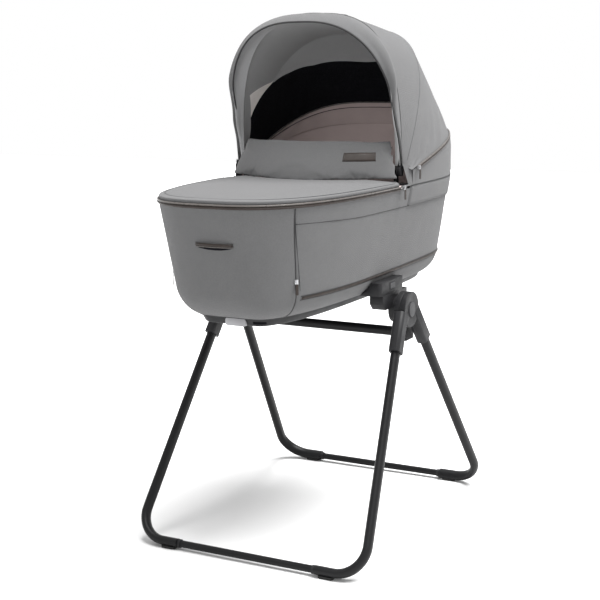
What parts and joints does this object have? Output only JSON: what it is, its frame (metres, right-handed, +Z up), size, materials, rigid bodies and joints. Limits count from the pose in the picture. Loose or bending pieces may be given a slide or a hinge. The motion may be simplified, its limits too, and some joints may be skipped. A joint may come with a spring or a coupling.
{
  "type": "bassinet on stand",
  "caption": "Carrycot bassinet with zip apron, wind flap and folding canopy, clipped onto a folding tubular floor stand.",
  "frame": {"origin": "middle of the object's footprint, on the floor", "axes": "+Z up, +X to the bassinet's side, +Y towards the head end, -Y towards the foot end"},
  "size_m": [0.5684, 0.8915, 1.168],
  "materials": {
    "fabric": "melange woven",
    "lining": "soft jersey",
    "trim_brown": "satin",
    "strap": "stitched",
    "metal": "polished",
    "slider_grey": "silver",
    "leg_paint": "satin black",
    "black_plastic": "fine texture",
    "board": "plain",
    "rubber": "matte"
  },
  "bodies": {
    "stand": {"rear_housing_left": "black_plastic", "rear_housing_right": "black_plastic", "rear_leg_left": "leg_paint", "rear_leg_right": "leg_paint", "rear_floor_tube": "leg_paint", "rear_ferrules": "black_plastic", "rear_feet": "rubber", "pivot_pins": "metal", "hub_bosses": "black_plastic", "receiver_left": "black_plastic", "receiver_right": "black_plastic", "cross_tube": "leg_paint", "cross_tube_brackets": "leg_paint"},
    "front_frame": {"front_housing_left": "black_plastic", "front_housing_right": "black_plastic", "front_leg_left": "leg_paint", "front_leg_right": "leg_paint", "front_floor_tube": "leg_paint", "front_ferrules": "black_plastic", "front_feet": "rubber"},
    "fold_button_left": {"fold_button_left": "black_plastic"},
    "fold_button_right": {"fold_button_right": "black_plastic"},
    "bassinet": {"base_pan": "black_plastic", "wall_board": "board", "rim_frame": "black_plastic", "foot_panel": "fabric", "head_panel": "fabric", "side_panel_left": "fabric", "side_panel_right": "fabric", "head_collar": "fabric", "liner": "lining", "mattress": "lining", "rim_zip": "trim_brown", "foot_handle": "strap", "adapter_left": "black_plastic", "adapter_right": "black_plastic", "canopy_hinges": "metal", "hood_wall": "fabric", "rim_zip_sliders": "metal", "canopy_zip_sliders": "metal", "corner_zip_sliders": "metal"},
    "adapter_button_left": {"adapter_button_left": "black_plastic"},
    "adapter_button_right": {"adapter_button_right": "black_plastic"},
    "vent_slider": {"vent_slider": "slider_grey"},
    "apron": {"apron": "fabric"},
    "wind_flap": {"wind_flap": "fabric", "flap_label": "trim_brown"},
    "canopy_mid": {"mid_bow": "black_plastic", "canopy_rear_panel": "fabric"},
    "canopy_front": {"front_bow": "black_plastic", "visor": "fabric", "canopy_front_panel": "fabric", "carry_handle": "strap"},
    "rim_puller_left": {"rim_puller_left": "trim_brown"},
    "rim_puller_right": {"rim_puller_right": "trim_brown"},
    "canopy_puller_left": {"canopy_puller_left": "trim_brown"},
    "canopy_puller_right": {"canopy_puller_right": "trim_brown"},
    "corner_puller_left": {"corner_puller_left": "trim_brown"},
    "corner_puller_right": {"corner_puller_right": "trim_brown"}
  },
  "joints": [
    {"name": "front_frame_fold", "type": "hinge", "parent": "stand", "child": "front_frame", "pos_m": [0, 0.029, 0.512], "axis": [1, 0, 0], "range_deg": [0, 64]},
    {"name": "bassinet_lift", "type": "slide", "parent": "stand", "child": "bassinet", "axis": [0, 0, 1], "range_m": [0, 0.25]},
    {"name": "vent_slide", "type": "slide", "parent": "bassinet", "child": "vent_slider", "axis": [1, 0, 0], "range_m": [-0.015, 0.015]},
    {"name": "apron_lift", "type": "slide", "parent": "bassinet", "child": "apron", "axis": [0, -0.866, 0.5], "range_m": [0, 0.25]},
    {"name": "wind_flap_fold", "type": "hinge", "parent": "apron", "child": "wind_flap", "pos_m": [0, -0.0805, 0.7958], "axis": [1, 0, 0], "range_deg": [0, 70]},
    {"name": "canopy_mid_fold", "type": "hinge", "parent": "bassinet", "child": "canopy_mid", "pos_m": [0, 0.046, 0.818], "axis": [-1, 0, 0], "range_deg": [0, 36], "deforming": ["canopy_rear_panel"]},
    {"name": "canopy_front_fold", "type": "hinge", "parent": "canopy_mid", "child": "canopy_front", "pos_m": [0, 0.046, 0.818], "axis": [-1, 0, 0], "range_deg": [0, 32.4], "deforming": ["canopy_front_panel"]},
    {"name": "fold_button_left_press", "type": "slide", "parent": "front_frame", "child": "fold_button_left", "axis": [1, 0, 0], "range_m": [0, 0.0025], "stiffness_N_per_m": 400, "springref_m": -0.0005},
    {"name": "adapter_button_left_press", "type": "slide", "parent": "bassinet", "child": "adapter_button_left", "axis": [1, 0, 0], "range_m": [0, 0.003], "stiffness_N_per_m": 400, "springref_m": -0.0005},
    {"name": "fold_button_right_press", "type": "slide", "parent": "front_frame", "child": "fold_button_right", "axis": [-1, 0, 0], "range_m": [0, 0.0025], "stiffness_N_per_m": 400, "springref_m": -0.0005},
    {"name": "adapter_button_right_press", "type": "slide", "parent": "bassinet", "child": "adapter_button_right", "axis": [-1, 0, 0], "range_m": [0, 0.003], "stiffness_N_per_m": 400, "springref_m": -0.0005},
    {"name": "rim_puller_left_swing", "type": "hinge", "parent": "bassinet", "child": "rim_puller_left", "pos_m": [-0.2308, 0.012, 0.7814], "axis": [0, 1, 0], "range_deg": [0, 100]},
    {"name": "rim_puller_right_swing", "type": "hinge", "parent": "bassinet", "child": "rim_puller_right", "pos_m": [0.2308, 0.012, 0.7814], "axis": [0, -1, 0], "range_deg": [0, 100]},
    {"name": "canopy_puller_left_swing", "type": "hinge", "parent": "bassinet", "child": "canopy_puller_left", "pos_m": [-0.2368, 0.082, 0.8204], "axis": [0, 1, 0], "range_deg": [0, 100]},
    {"name": "canopy_puller_right_swing", "type": "hinge", "parent": "bassinet", "child": "canopy_puller_right", "pos_m": [0.2368, 0.082, 0.8204], "axis": [0, -1, 0], "range_deg": [0, 100]},
    {"name": "corner_puller_left_swing", "type": "hinge", "parent": "bassinet", "child": "corner_puller_left", "pos_m": [-0.14722, -0.34153, 0.6224], "axis": [-0.5, 0.866, 0], "range_deg": [0, 100]},
    {"name": "corner_puller_right_swing", "type": "hinge", "parent": "bassinet", "child": "corner_puller_right", "pos_m": [0.14722, -0.34153, 0.6224], "axis": [-0.5, -0.866, 0], "range_deg": [0, 100]}
  ],
  "couplings": [
    {"joint": "canopy_front_fold", "follows": "canopy_mid_fold", "ratio": 0.9}
  ]
}
